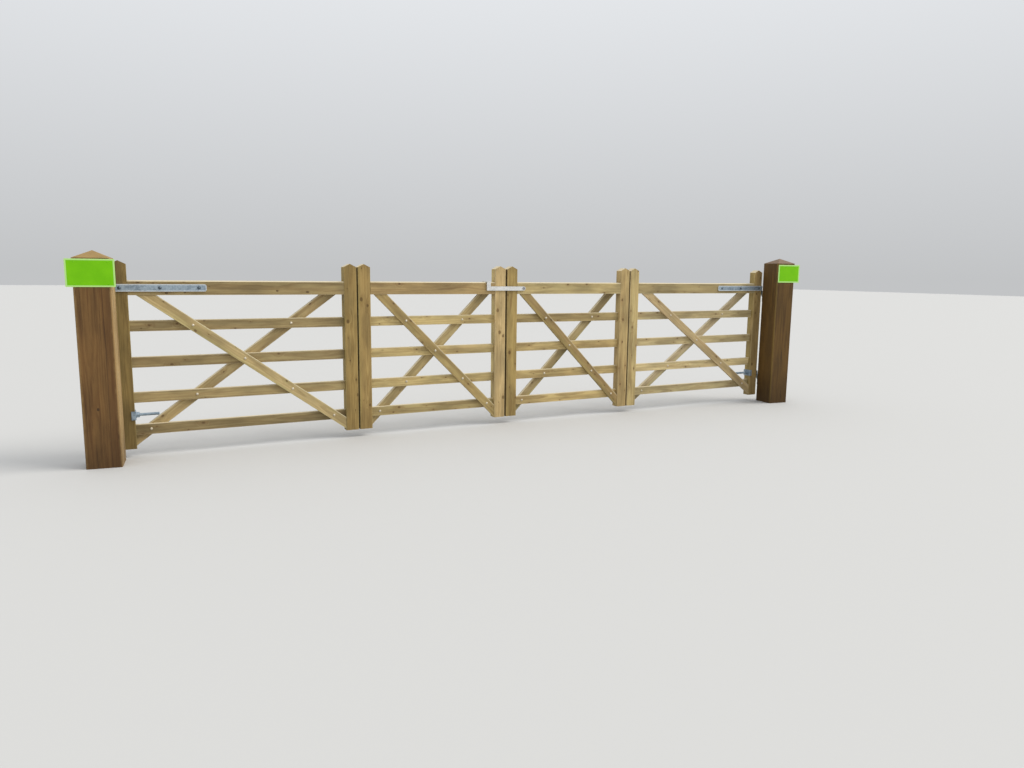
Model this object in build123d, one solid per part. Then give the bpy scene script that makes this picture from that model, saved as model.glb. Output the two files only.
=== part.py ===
from build123d import *
import math
import os

os.makedirs("parts", exist_ok=True)

# Gateposts: sawn square timber with a head cut to four slopes, the right one taller.
# Both stand a few degrees round from the line of the leaves, clockwise seen from above.
POST_W = 215
LEFT_POST_H = 1370
RIGHT_POST_H = 1430
POST_CAP = 50
POST_ARRIS = 6
POST_TURN = 6.5

# Four leaves: two outer ones hung on the posts, two inner ones hung on those.
# They lap the posts' width and stand behind the turned posts' rearmost corners.
OUTER_W = 1685
INNER_W = 1290
FOLD_GAP = 10
MEET_GAP = 14
LAP = 16
BEHIND = 14
FOOT = 60
SEAT = 0.3

# Stiles and rails; the stile's horn stands above the top rail and its head has two
# slopes, and the lower rails' heights are shares of the top rail's
STILE_W = 100
LEAF_T = 75
STILE_H = 1275
STILE_CAP = 25
STILE_ARRIS = 3
HORN = 109
TOP_DEPTH = 100
TOP_BEVEL = 14
RAIL_DEPTH = 75
RAIL_T = 22
RAIL_HEIGHTS = (0.1165, 0.3208, 0.5412, 0.7661)
BOARD_ARRIS = 2
CROSSING = 2
TENON_L = 45
TOP_TENON_T = 25
TOP_TENON_SHOULDER = 12

# Braces
BRACE_W = 75
BRACE_T = 22
BRACE_END_DROP = 71

# Hanging hinges: a double strap band at the top, an adjustable eye bolt below
PIN_R = 9.5
PIN_PLAY = 0.3
PIN_OUT = 25
BAND_T = 8
BAND_H = 50
BAND_L = 600
BAND_TIP_R = 14
EYE_WALL = 8
EYEBOLT_Z = 235
EYEBOLT_R = 10
EYEBOLT_EYE_R = 20
EYEBOLT_EYE_H = 30
EYEBOLT_TAIL = 155
STIRRUP_H = 60
STIRRUP_T = 6
STIRRUP_LEG = 24
HOOK_PLATE_W = 60
HOOK_PLATE_H = 110
HOOK_PLATE_T = 6
HOOK_BOSS_R = 17
HOOK_BOSS_H = 20
HOOK_WEB_T = 12
PIN_ABOVE = 8

# Fold hinges, on the back faces where an inner leaf meets an outer one
FOLD_PIN_R = 6
FOLD_BARREL_R = 11
FOLD_OUT = 27
FOLD_PLATE_L = 85
FOLD_PLATE_T = 6
FOLD_H = 64
FOLD_MID_H = 24
FOLD_PLAY = 0.4
FOLD_PIN_ABOVE = 4

# Throw-over loop that holds the two inner leaves together
LOOP_BACK = 163
LOOP_REACH = 353
LOOP_BELOW = 3
LOOP_BAR_W = 35
LOOP_BAR_T = 8
LOOP_CLEAR = 5
LOOP_PIN_R = 6
LOOP_HEAD_R = 12
LOOP_HEAD_T = 5

# Where things stand
TURN_COS = math.cos(math.radians(POST_TURN))
TURN_SIN = math.sin(math.radians(POST_TURN))
POST_FACE = POST_W / 2
POST_CORNER = POST_FACE * (TURN_COS + TURN_SIN)
LEAF_Y = POST_CORNER + BEHIND
LEAF_MID_Y = LEAF_Y + LEAF_T / 2
LEAF_BACK_Y = LEAF_Y + LEAF_T
LEAF_1_X = POST_FACE - LAP
LEAF_2_X = LEAF_1_X + OUTER_W + FOLD_GAP
LEAF_3_X = LEAF_2_X + INNER_W + MEET_GAP
LEAF_4_X = LEAF_3_X + INNER_W + FOLD_GAP
LEAVES_END_X = LEAF_4_X + OUTER_W
RIGHT_POST_X = LEAVES_END_X - LAP + POST_FACE
LEFT_PIN_X = LEAF_1_X - PIN_OUT
RIGHT_PIN_X = LEAVES_END_X + PIN_OUT
LEFT_FOLD_X = LEAF_2_X - FOLD_GAP / 2
RIGHT_FOLD_X = LEAF_4_X - FOLD_GAP / 2
FOLD_Y = LEAF_BACK_Y + FOLD_OUT
MEET_X = LEAF_3_X - MEET_GAP / 2
LOOP_PIN_X = MEET_X + LOOP_BACK
TOP_Z = STILE_H - HORN - TOP_DEPTH / 2
TOP_UNDER = TOP_Z - TOP_DEPTH / 2
RAIL_Z = tuple(round(TOP_Z * share) for share in RAIL_HEIGHTS)
BRACE_END_Z = RAIL_Z[0] - BRACE_END_DROP
LOOP_Z = TOP_Z - LOOP_BELOW
BORE_R = PIN_R + PIN_PLAY
FOLD_BORE_R = FOLD_PIN_R + PIN_PLAY
LOOP_BORE_R = LOOP_PIN_R + PIN_PLAY
EYE_R = BORE_R + EYE_WALL


def block(x0, x1, y0, y1, z0, z1):
    """A plain squared piece between two opposite corners."""
    centre = Pos((x0 + x1) / 2, (y0 + y1) / 2, (z0 + z1) / 2)
    return centre * Box(x1 - x0, y1 - y0, z1 - z0)


def upright_rod(x, y, z0, z1, r):
    """A round bar standing from z0 to z1."""
    return Pos(x, y, (z0 + z1) / 2) * Cylinder(r, z1 - z0)


def weathered(w, d, h, rise, arris, slopes):
    """A squared timber with eased corners and a head that sheds water.

    Two slopes fall to the left and right of a ridge; four also fall to the front and back.
    """
    section = chamfer(Rectangle(w, d).vertices(), length=arris)
    timber = extrude(section, amount=h + rise)
    cuts = ((Plane.XZ, w / 2, d), (Plane.YZ, d / 2, w))
    for plane, half, reach in cuts[:slopes // 2]:
        gable = Polyline((-half, 0), (half, 0), (half, h), (0, h + rise), (-half, h), close=True)
        timber &= extrude(plane * make_face(gable), amount=reach, both=True)
    return timber


def side_plate(points, y0, y1):
    """An outline in the plane of the gate, given thickness from y0 to y1."""
    outline = Plane.XZ * make_face(Polyline(*points, close=True))
    solid = extrude(outline, amount=-(y1 - y0))
    return Pos(0, y0, 0) * solid


def plan_plate(points, z0, z1):
    """An outline seen from above, given height from z0 to z1."""
    outline = make_face(Polyline(*points, close=True))
    return Pos(0, 0, z0) * extrude(outline, amount=z1 - z0)


def mirrored(shape, x):
    """The same piece handed the other way about the upright plane at x."""
    return mirror(shape, about=Plane(origin=(x, 0, 0), z_dir=(1, 0, 0)))


def keep(shape, name):
    export_step(shape, "parts/" + name + ".step")


# Gateposts

def on_post(x, shape):
    """Turn and place a piece that was made square to a post at the origin."""
    return Pos(x, 0, 0) * Rot(0, 0, -POST_TURN) * shape


POSTS = (
    ("left_gatepost", 0, LEFT_POST_H),
    ("right_gatepost", RIGHT_POST_X, RIGHT_POST_H),
)
for name, x, height in POSTS:
    keep(on_post(x, weathered(POST_W, POST_W, height, POST_CAP, POST_ARRIS, 4)), name)


# Leaf timbers

def stile(x, rails_to, rod=False):
    """One upright, mortised for the rails on the side rails_to (1 right, -1 left)."""
    body = weathered(STILE_W, LEAF_T, STILE_H, STILE_CAP, STILE_ARRIS, 2)
    body = Pos(x + STILE_W / 2, LEAF_MID_Y, FOOT) * body
    inner = x + STILE_W if rails_to > 0 else x
    deep = inner - rails_to * (TENON_L + SEAT)
    x0 = min(inner + rails_to, deep)
    x1 = max(inner + rails_to, deep)
    half = RAIL_T / 2 + SEAT
    for z in RAIL_Z:
        low = FOOT + z - RAIL_DEPTH / 2 - SEAT
        high = FOOT + z + RAIL_DEPTH / 2 + SEAT
        body -= block(x0, x1, LEAF_MID_Y - half, LEAF_MID_Y + half, low, high)
    half = TOP_TENON_T / 2 + SEAT
    low = FOOT + TOP_UNDER + TOP_TENON_SHOULDER - SEAT
    high = FOOT + TOP_Z + TOP_DEPTH / 2 - TOP_TENON_SHOULDER + SEAT
    body -= block(x0, x1, LEAF_MID_Y - half, LEAF_MID_Y + half, low, high)
    if rod:
        hole = Pos(x + STILE_W / 2, LEAF_MID_Y, FOOT + EYEBOLT_Z) * Rot(0, 90, 0)
        body -= hole * Cylinder(EYEBOLT_R + SEAT, STILE_W * 2)
    return body


def top_rail(x, width, pin_x=None):
    """The deep top rail, bevelled on its upper edges and tenoned into both stiles."""
    x0 = x + STILE_W + SEAT
    x1 = x + width - STILE_W - SEAT
    high = FOOT + TOP_Z + TOP_DEPTH / 2
    low = FOOT + TOP_UNDER
    front = LEAF_Y
    back = LEAF_BACK_Y
    outline = [
        (front, low),
        (back, low),
        (back, high - TOP_BEVEL / 2),
        (back - TOP_BEVEL, high),
        (front + TOP_BEVEL, high),
        (front, high - TOP_BEVEL / 2),
    ]
    face = Plane.YZ * make_face(Polyline(*outline, close=True))
    body = Pos(x0, 0, 0) * extrude(face, amount=x1 - x0)
    body += block(
        x0 - TENON_L,
        x1 + TENON_L,
        LEAF_MID_Y - TOP_TENON_T / 2,
        LEAF_MID_Y + TOP_TENON_T / 2,
        low + TOP_TENON_SHOULDER,
        high - TOP_TENON_SHOULDER,
    )
    if pin_x is not None:
        hole = Pos(pin_x, LEAF_MID_Y, FOOT + LOOP_Z) * Rot(90, 0, 0)
        body -= hole * Cylinder(LOOP_BORE_R, LEAF_T * 2)
    return body


def lower_rails(x, width):
    """Four boards let into the stiles at their full section."""
    boards = []
    for z in RAIL_Z:
        board = block(
            x + STILE_W - TENON_L,
            x + width - STILE_W + TENON_L,
            LEAF_MID_Y - RAIL_T / 2,
            LEAF_MID_Y + RAIL_T / 2,
            FOOT + z - RAIL_DEPTH / 2,
            FOOT + z + RAIL_DEPTH / 2,
        )
        boards.append(chamfer(board.edges().filter_by(Axis.X), length=BOARD_ARRIS))
    return Compound(children=boards)


def brace(x, width, falls_to, y0):
    """A board across the rails, falling to the foot of one stile.

    Its middle line crosses the middle of the leaf on the rail named by CROSSING.
    The head is cut level under the top rail and the foot upright at the stile.
    """
    mid_z = RAIL_Z[CROSSING]
    run = width / 2 - STILE_W
    slope = (mid_z - BRACE_END_Z) / run
    angle = math.atan(slope)
    head_z = TOP_UNDER - SEAT
    head_x = width / 2 - (head_z - mid_z) / slope
    half_x = BRACE_W / 2 / math.sin(angle)
    half_z = BRACE_W / 2 / math.cos(angle)
    end_x = width - STILE_W - SEAT
    end_z = mid_z - (end_x - width / 2) * slope
    outline = [
        (head_x - half_x, head_z),
        (head_x + half_x, head_z),
        (end_x, end_z + half_z),
        (end_x, end_z - half_z),
    ]
    if falls_to < 0:
        outline = [(width - px, pz) for px, pz in reversed(outline)]
    points = [(x + px, FOOT + pz) for px, pz in outline]
    board = side_plate(points, y0, y0 + BRACE_T)
    long_edges = board.edges().sort_by(SortBy.LENGTH)[-4:]
    return chamfer(long_edges, length=BOARD_ARRIS)


FRONT_BRACE_Y = LEAF_MID_Y - RAIL_T / 2 - SEAT - BRACE_T
BACK_BRACE_Y = LEAF_MID_Y + RAIL_T / 2 + SEAT

LEAVES = (
    ("left_outer", LEAF_1_X, OUTER_W, "hanging", "fold"),
    ("left_inner", LEAF_2_X, INNER_W, "fold", "meeting"),
    ("right_inner", LEAF_3_X, INNER_W, "meeting", "fold"),
    ("right_outer", LEAF_4_X, OUTER_W, "fold", "hanging"),
)

for leaf, x, width, left_name, right_name in LEAVES:
    pin_x = LOOP_PIN_X if leaf == "right_inner" else None
    keep(stile(x, 1, left_name == "hanging"), leaf + "_" + left_name + "_stile")
    keep(stile(x + width - STILE_W, -1, right_name == "hanging"), leaf + "_" + right_name + "_stile")
    keep(top_rail(x, width, pin_x), leaf + "_top_rail")
    keep(lower_rails(x, width), leaf + "_lower_rails")
    keep(brace(x, width, 1, FRONT_BRACE_Y), leaf + "_front_brace")
    keep(brace(x, width, -1, BACK_BRACE_Y), leaf + "_back_brace")


# Hanging hinges on the leaves, made for the left post and handed over for the right one

def strap(y0):
    """A flat strap along one face of the top rail, with its tip's corners rounded."""
    bar = block(
        LEAF_1_X,
        LEAF_1_X + BAND_L,
        y0,
        y0 + BAND_T,
        FOOT + TOP_Z - BAND_H / 2,
        FOOT + TOP_Z + BAND_H / 2,
    )
    corners = bar.edges().filter_by(Axis.Y).group_by(Axis.X)[-1]
    return fillet(corners, radius=BAND_TIP_R)


def strap_band():
    """Two straps joined at an eye just outside the hanging stile's edge."""
    z0 = FOOT + TOP_Z - BAND_H / 2
    z1 = FOOT + TOP_Z + BAND_H / 2
    front = strap(LEAF_Y - SEAT - BAND_T)
    back = strap(LEAF_BACK_Y + SEAT)
    ring = upright_rod(LEFT_PIN_X, LEAF_MID_Y, z0, z1, EYE_R)
    # each neck runs from the strap's outer corner along a tangent of the eye
    px = PIN_OUT
    py = -(LEAF_T / 2 + SEAT + BAND_T)
    dist = math.hypot(px, py)
    to_corner = math.atan2(py, px)
    touch = to_corner - math.acos(EYE_R / dist)
    tx = EYE_R * math.cos(touch)
    ty = EYE_R * math.sin(touch)
    nx = -math.cos(touch) * BAND_T
    ny = -math.sin(touch) * BAND_T
    neck = [(px, py), (tx, ty), (tx + nx, ty + ny), (px + nx, py + ny)]
    lower = [(LEFT_PIN_X + a, LEAF_MID_Y + b) for a, b in neck]
    upper = [(LEFT_PIN_X + a, LEAF_MID_Y - b) for a, b in neck]
    band = front + back + ring
    band += plan_plate(lower, z0, z1)
    band += plan_plate(upper, z0, z1)
    return band - upright_rod(LEFT_PIN_X, LEAF_MID_Y, z0 - 1, z1 + 1, BORE_R)


def eye_bolt():
    """A long bolt through the hanging stile with an eye outside and a stirrup inside."""
    z = FOOT + EYEBOLT_Z
    ring = upright_rod(LEFT_PIN_X, LEAF_MID_Y, z - EYEBOLT_EYE_H / 2, z + EYEBOLT_EYE_H / 2, EYEBOLT_EYE_R)
    end = LEAF_1_X + STILE_W + EYEBOLT_TAIL
    start = LEFT_PIN_X + BORE_R
    rod = Pos((start + end) / 2, LEAF_MID_Y, z) * Rot(0, 90, 0) * Cylinder(EYEBOLT_R, end - start)
    bore = upright_rod(LEFT_PIN_X, LEAF_MID_Y, z - EYEBOLT_EYE_H, z + EYEBOLT_EYE_H, BORE_R)
    return ring + rod - bore + stirrup(z)


def stirrup(z):
    """A plate bent to a U that clasps the stile's inner edge, with a leg on each face."""
    inside = LEAF_1_X + STILE_W + SEAT
    low = z - STIRRUP_H / 2
    high = z + STIRRUP_H / 2
    front = LEAF_Y - SEAT
    back = LEAF_BACK_Y + SEAT
    outer = block(
        inside - STIRRUP_LEG,
        inside + STIRRUP_T,
        front - STIRRUP_T,
        back + STIRRUP_T,
        low,
        high,
    )
    bends = outer.edges().filter_by(Axis.Z).group_by(Axis.X)[-1]
    return fillet(bends, radius=STIRRUP_T) - block(inside - STIRRUP_LEG - 1, inside, front, back, low, high)


CENTRE_X = RIGHT_POST_X / 2
HANGING = (
    ("strap_band", strap_band()),
    ("eye_bolt", eye_bolt()),
)
for name, piece in HANGING:
    keep(piece, "left_" + name)
    keep(mirrored(piece, CENTRE_X), "right_" + name)


# Hooks that carry the eyes, made square to each post and turned with it

def hook(post_x, pin_x, eye_z, eye_h):
    """A plate on the back of the post, a boss standing off it and an upright pin.

    The plate is centred on the pin, as far as the flat of the post's back lets it.
    """
    out = pin_x - post_x
    x = out * TURN_COS - LEAF_MID_Y * TURN_SIN
    y = out * TURN_SIN + LEAF_MID_Y * TURN_COS
    flat = POST_FACE - POST_ARRIS - HOOK_PLATE_W / 2
    plate_x = max(-flat, min(flat, x))
    seat_z = eye_z - eye_h / 2 - SEAT
    low = seat_z - HOOK_BOSS_H
    back = POST_FACE + SEAT
    plate = block(
        plate_x - HOOK_PLATE_W / 2,
        plate_x + HOOK_PLATE_W / 2,
        back,
        back + HOOK_PLATE_T,
        seat_z - HOOK_PLATE_H,
        seat_z,
    )
    boss = upright_rod(x, y, low, seat_z, HOOK_BOSS_R)
    arm = block(x - HOOK_WEB_T, x + HOOK_WEB_T, back, y, low, seat_z)
    gusset = [
        (back + HOOK_PLATE_T, seat_z - HOOK_PLATE_H * 0.8),
        (y, low + 1),
        (back + HOOK_PLATE_T, low + 1),
    ]
    web = Plane.YZ * make_face(Polyline(*gusset, close=True))
    web = Pos(x - HOOK_WEB_T / 4, 0, 0) * extrude(web, amount=HOOK_WEB_T / 2)
    pin = upright_rod(x, y, low, eye_z + eye_h / 2 + PIN_ABOVE, PIN_R)
    return on_post(post_x, plate + arm + boss + web + pin)


HOOKS = (
    ("top_hook", FOOT + TOP_Z, BAND_H),
    ("bottom_hook", FOOT + EYEBOLT_Z, EYEBOLT_EYE_H),
)
for name, eye_z, eye_h in HOOKS:
    keep(hook(0, LEFT_PIN_X, eye_z, eye_h), "left_" + name)
    keep(hook(RIGHT_POST_X, RIGHT_PIN_X, eye_z, eye_h), "right_" + name)


# Fold hinges: a pair at each fold, at the height of the hanging hinges

FOLD_Z = (FOOT + EYEBOLT_Z, FOOT + TOP_Z)


def fold_half(z, leaf_side, ranges):
    """A plate on one leaf's back face with knuckles on the fold pin."""
    edge = LEFT_FOLD_X + leaf_side * FOLD_GAP / 2
    far = edge + leaf_side * FOLD_PLATE_L
    near_y = LEAF_BACK_Y + SEAT
    top_y = near_y + FOLD_PLATE_T
    body = block(min(edge, far), max(edge, far), near_y, top_y, z - FOLD_H / 2, z + FOLD_H / 2)
    web = [
        (edge + leaf_side * FOLD_OUT, top_y - 1),
        (edge, top_y - 1),
        (LEFT_FOLD_X, FOLD_Y - FOLD_BARREL_R * 0.7),
        (LEFT_FOLD_X, FOLD_Y),
        (LEFT_FOLD_X + leaf_side * FOLD_BARREL_R * 0.7, FOLD_Y + FOLD_BARREL_R * 0.7),
    ]
    for z0, z1 in ranges:
        body += plan_plate(web, z0, z1)
        body += upright_rod(LEFT_FOLD_X, FOLD_Y, z0, z1, FOLD_BARREL_R)
    return body - upright_rod(LEFT_FOLD_X, FOLD_Y, z - FOLD_H, z + FOLD_H, FOLD_BORE_R)


outer_halves = []
inner_halves = []
fold_pins = []
for z in FOLD_Z:
    mid = FOLD_MID_H / 2
    outer_halves.append(fold_half(z, -1, (
        (z - FOLD_H / 2, z - mid - FOLD_PLAY),
        (z + mid + FOLD_PLAY, z + FOLD_H / 2),
    )))
    inner_halves.append(fold_half(z, 1, ((z - mid, z + mid),)))
    low = z - FOLD_H / 2 - FOLD_PIN_ABOVE
    high = z + FOLD_H / 2 + SEAT
    pin = upright_rod(LEFT_FOLD_X, FOLD_Y, low, high, FOLD_PIN_R)
    pin += upright_rod(LEFT_FOLD_X, FOLD_Y, high, high + FOLD_PIN_ABOVE, FOLD_BARREL_R)
    fold_pins.append(pin)

FOLDS = (
    ("fold_hinges_outer", outer_halves),
    ("fold_hinges_inner", inner_halves),
    ("fold_pins", fold_pins),
)
for name, pieces in FOLDS:
    keep(Compound(children=pieces), "left_" + name)
    handed = [mirrored(piece, CENTRE_X) for piece in pieces]
    keep(Compound(children=handed), "right_" + name)


# Throw-over loop on the right inner leaf

def loop_arm(y0):
    """One flat arm with an upturned end, reaching from the pin past the meeting stiles."""
    z = FOOT + LOOP_Z
    half = LOOP_BAR_W / 2
    tip = LOOP_PIN_X - LOOP_REACH
    top = FOOT + TOP_Z + TOP_DEPTH / 2 + SEAT + LOOP_BAR_T
    bar = block(tip, LOOP_PIN_X, y0, y0 + LOOP_BAR_T, z - half, z + half)
    upturn = block(tip, tip + LOOP_BAR_W, y0, y0 + LOOP_BAR_T, z - half, top)
    nose = Pos(LOOP_PIN_X, y0 + LOOP_BAR_T / 2, z) * Rot(90, 0, 0) * Cylinder(half, LOOP_BAR_T)
    return bar + upturn + nose


def latch_loop():
    """Two arms joined by a crosspiece that lies over the top rail of the other leaf."""
    front = LEAF_Y - LOOP_CLEAR - LOOP_BAR_T
    back = LEAF_BACK_Y + LOOP_CLEAR
    tip = LOOP_PIN_X - LOOP_REACH
    top = FOOT + TOP_Z + TOP_DEPTH / 2 + SEAT + LOOP_BAR_T
    cross = block(tip, tip + LOOP_BAR_W, front, back + LOOP_BAR_T, top - LOOP_BAR_T, top)
    loop = loop_arm(front) + loop_arm(back) + cross
    bore = Pos(LOOP_PIN_X, LEAF_MID_Y, FOOT + LOOP_Z) * Rot(90, 0, 0)
    return loop - bore * Cylinder(LOOP_BORE_R, LEAF_T * 3)


def latch_pivot():
    """A headed pin through the top rail and both arms."""
    place = Pos(LOOP_PIN_X, LEAF_MID_Y, FOOT + LOOP_Z) * Rot(90, 0, 0)
    half = LEAF_T / 2 + LOOP_CLEAR + LOOP_BAR_T + SEAT
    pin = place * Cylinder(LOOP_PIN_R, half * 2)
    for side in (-1, 1):
        pin += place * Pos(0, 0, side * (half + LOOP_HEAD_T / 2)) * Cylinder(LOOP_HEAD_R, LOOP_HEAD_T)
    return pin


keep(latch_loop(), "latch_loop")
keep(latch_pivot(), "latch_pivot")
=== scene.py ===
import math
import random

import bmesh
import bpy
from mathutils import Matrix, Vector


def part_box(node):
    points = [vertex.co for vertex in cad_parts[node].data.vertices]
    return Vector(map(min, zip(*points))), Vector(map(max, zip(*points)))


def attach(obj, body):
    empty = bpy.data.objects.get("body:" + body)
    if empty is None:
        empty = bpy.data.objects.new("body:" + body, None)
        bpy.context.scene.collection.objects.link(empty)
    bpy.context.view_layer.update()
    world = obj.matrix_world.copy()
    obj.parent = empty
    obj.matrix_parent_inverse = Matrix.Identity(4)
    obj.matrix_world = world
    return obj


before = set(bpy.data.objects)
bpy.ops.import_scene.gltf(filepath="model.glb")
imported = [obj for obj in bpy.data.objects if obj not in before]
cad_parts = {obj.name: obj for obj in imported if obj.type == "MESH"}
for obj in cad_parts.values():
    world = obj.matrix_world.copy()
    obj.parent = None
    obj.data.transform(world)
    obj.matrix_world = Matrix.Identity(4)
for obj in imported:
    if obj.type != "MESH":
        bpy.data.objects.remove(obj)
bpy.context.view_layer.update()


# Gateposts. Two sawn posts, 215 mm square, stand turned a little to the line of the leaves. They
# have weathered to a warm brown with fine checks. The left one's inner side is paler sapwood, and
# a long split runs down its front.

# The colours of a post's faces, its head and its inner side
POST_COLOURS = {
    "left_gatepost": ((0.157, 0.086, 0.027), (0.290, 0.187, 0.060), (0.430, 0.295, 0.130)),
    "right_gatepost": ((0.103, 0.057, 0.011), (0.178, 0.116, 0.070), (0.104, 0.056, 0.010)),
}
# Where a post's grain starts, and how far its long split runs from the middle of the front
NO_SPLIT = -9.0
POST_GRAIN = {"left_gatepost": (1.9, -0.052), "right_gatepost": (5.6, NO_SPLIT)}
POST_TURN = math.radians(-6.5)
LEVEL = (0, 0, 0)
UPRIGHT = (0, -math.pi / 2, 0)
UPRIGHT_AND_TURNED = (0, -math.pi / 2, POST_TURN)


def put(tree, kind, ins=(), **settings):
    """Adds a node. Its inputs are given by place or by name, as values or as sockets to link."""
    made = tree.nodes.new(kind)
    for name, value in settings.items():
        setattr(made, name, value)
    pairs = ins.items() if isinstance(ins, dict) else enumerate(ins)
    for key, value in pairs:
        if isinstance(value, bpy.types.NodeSocket):
            tree.links.new(value, made.inputs[key])
        elif value is not None:
            made.inputs[key].default_value = value
    return made


def calc(tree, operation, *values):
    return put(tree, "ShaderNodeMath", values, operation=operation).outputs[0]


def product(tree, first, *others):
    for other in others:
        first = calc(tree, "MULTIPLY", first, other)
    return first


def vector_calc(tree, operation, *values):
    made = put(tree, "ShaderNodeVectorMath", values, operation=operation)
    return made.outputs["Value" if operation == "LENGTH" else "Vector"]


def combine(tree, x, y, z):
    return put(tree, "ShaderNodeCombineXYZ", (x, y, z)).outputs[0]


def separate(tree, vector):
    return put(tree, "ShaderNodeSeparateXYZ", (vector,)).outputs


def rise(tree, value, start, end):
    """0 where the value is at start, 1 where it is at end, and eased between them."""
    ins = {"Value": value, "From Min": start, "From Max": end}
    return put(tree, "ShaderNodeMapRange", ins, interpolation_type="SMOOTHSTEP").outputs[0]


def spread(tree, value, low, high):
    """A value from 0 to 1 taken to the range from low to high."""
    ins = {"Value": value, "To Min": low, "To Max": high}
    return put(tree, "ShaderNodeMapRange", ins).outputs[0]


def noise(tree, vector, stretch, detail=2.0, colour=False):
    """Cloudy noise; stretch is how many times a metre it changes along each axis."""
    stretched = vector_calc(tree, "MULTIPLY", vector, stretch)
    made = put(tree, "ShaderNodeTexNoise", {"Vector": stretched, "Scale": 1.0, "Detail": detail})
    return made.outputs["Color" if colour else "Fac"]


def mixed(tree, share, under, over, mode="MIX"):
    ins = {0: share, 6: under, 7: over}
    return put(tree, "ShaderNodeMix", ins, data_type="RGBA", blend_type=mode).outputs[2]


def start_group(name, inputs, outputs):
    """An empty shader group with named sockets; inputs map a name to its default."""
    tree = bpy.data.node_groups.new(name, "ShaderNodeTree")
    for socket, default in inputs.items():
        kind = "Float"
        if not isinstance(default, float):
            kind = "Vector" if len(default) == 3 else "Color"
        made = tree.interface.new_socket(socket, in_out="INPUT", socket_type="NodeSocket" + kind)
        made.default_value = default
    for socket, kind in outputs.items():
        tree.interface.new_socket(socket, in_out="OUTPUT", socket_type="NodeSocket" + kind)
    given = tree.nodes.new("NodeGroupInput").outputs
    gives = tree.nodes.new("NodeGroupOutput").inputs
    return tree, given, gives


def use_group(tree, group, ins):
    return put(tree, "ShaderNodeGroup", ins, node_tree=group).outputs


def knots_group():
    """Knots in a sawn face: branches that run through the timber, a few in every metre."""
    tree, given, gives = start_group(
        "knots",
        {"Vector": (0, 0, 0), "Spacing": 0.25, "Band": 0.09, "Radius": 0.007, "Share": 0.6},
        {"Knot": "Float", "Halo": "Float", "Push": "Float"},
    )
    cell = combine(tree, given["Spacing"], 0.6, given["Band"])
    scaled = vector_calc(tree, "DIVIDE", given["Vector"], cell)
    ins = {"Vector": scaled, "Scale": 1.0, "Randomness": 0.8}
    cells = put(tree, "ShaderNodeTexVoronoi", ins)
    rim = put(tree, "ShaderNodeTexVoronoi", ins, feature="DISTANCE_TO_EDGE").outputs["Distance"]
    offset = vector_calc(tree, "SUBTRACT", scaled, cells.outputs["Position"])
    flat = vector_calc(tree, "MULTIPLY", vector_calc(tree, "MULTIPLY", offset, cell), (0.7, 0, 1))
    ragged = spread(tree, noise(tree, given["Vector"], (90, 90, 90)), 0.7, 1.3)
    smooth = vector_calc(tree, "LENGTH", flat)
    away = product(tree, smooth, ragged)
    chance = put(tree, "ShaderNodeSeparateColor", (cells.outputs["Color"],)).outputs
    size = product(tree, given["Radius"], spread(tree, chance[0], 0.45, 1.5))
    reach = calc(tree, "DIVIDE", away, size)
    there = calc(tree, "LESS_THAN", chance[1], given["Share"])
    core = product(tree, rise(tree, reach, 1.25, 0.8), there)
    long = vector_calc(tree, "LENGTH", vector_calc(tree, "MULTIPLY", flat, (0.4, 0, 1.3)))
    halo = product(tree, rise(tree, calc(tree, "DIVIDE", long, size), 3.4, 0.5), there)
    push = product(tree, rise(tree, calc(tree, "DIVIDE", smooth, size), 5.5, 0.0), there)
    push = product(tree, push, rise(tree, rim, 0.0, 0.22))
    tree.links.new(core, gives["Knot"])
    tree.links.new(product(tree, halo, rise(tree, rim, 0.0, 0.1)), gives["Halo"])
    tree.links.new(product(tree, push, product(tree, size, 2.6)), gives["Push"])
    return tree


def grain_group():
    """Growth rings round a wandering heart that lies beside the timber, and its fine fibres."""
    tree, given, gives = start_group(
        "grain",
        {"Vector": (0, 0, 0), "Ring": 0.005, "Heart": (0, 0.06, 0.01), "Wander": 0.012, "Push": 0.0},
        dict.fromkeys(("Late", "Radius", "Fibre", "Drift", "Streak"), "Float"),
    )
    slow = noise(tree, given["Vector"], (1.4, 7, 7), colour=True)
    centred = vector_calc(tree, "SUBTRACT", slow, (0.5, 0.5, 0.5))
    wander = combine(tree, *[given["Wander"]] * 3)
    shifted = vector_calc(tree, "MULTIPLY_ADD", centred, wander, given["Vector"])
    from_heart = vector_calc(tree, "ADD", shifted, given["Heart"])
    across = vector_calc(tree, "MULTIPLY", from_heart, (0, 1, 1))
    radius = calc(tree, "ADD", vector_calc(tree, "LENGTH", across), given["Push"])
    fray = spread(tree, noise(tree, given["Vector"], (7, 120, 120)), -0.2, 0.2)
    turns = calc(tree, "ADD", calc(tree, "DIVIDE", radius, given["Ring"]), fray)
    part = calc(tree, "FRACT", turns)
    ins = {"W": calc(tree, "FLOOR", turns)}
    year = put(tree, "ShaderNodeTexWhiteNoise", ins, noise_dimensions="1D")
    strength = spread(tree, year.outputs["Value"], 0.35, 1.0)
    band = product(tree, rise(tree, part, 0.2, 0.8), rise(tree, part, 1.0, 0.9))
    tree.links.new(product(tree, band, strength), gives["Late"])
    tree.links.new(radius, gives["Radius"])
    tree.links.new(noise(tree, given["Vector"], (22, 800, 800)), gives["Fibre"])
    tree.links.new(noise(tree, given["Vector"], (1.6, 13, 13), 3.0), gives["Drift"])
    streak = noise(tree, given["Vector"], (2.2, 55, 55), 3.0)
    tree.links.new(rise(tree, streak, 0.47, 0.68), gives["Streak"])
    return tree


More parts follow.
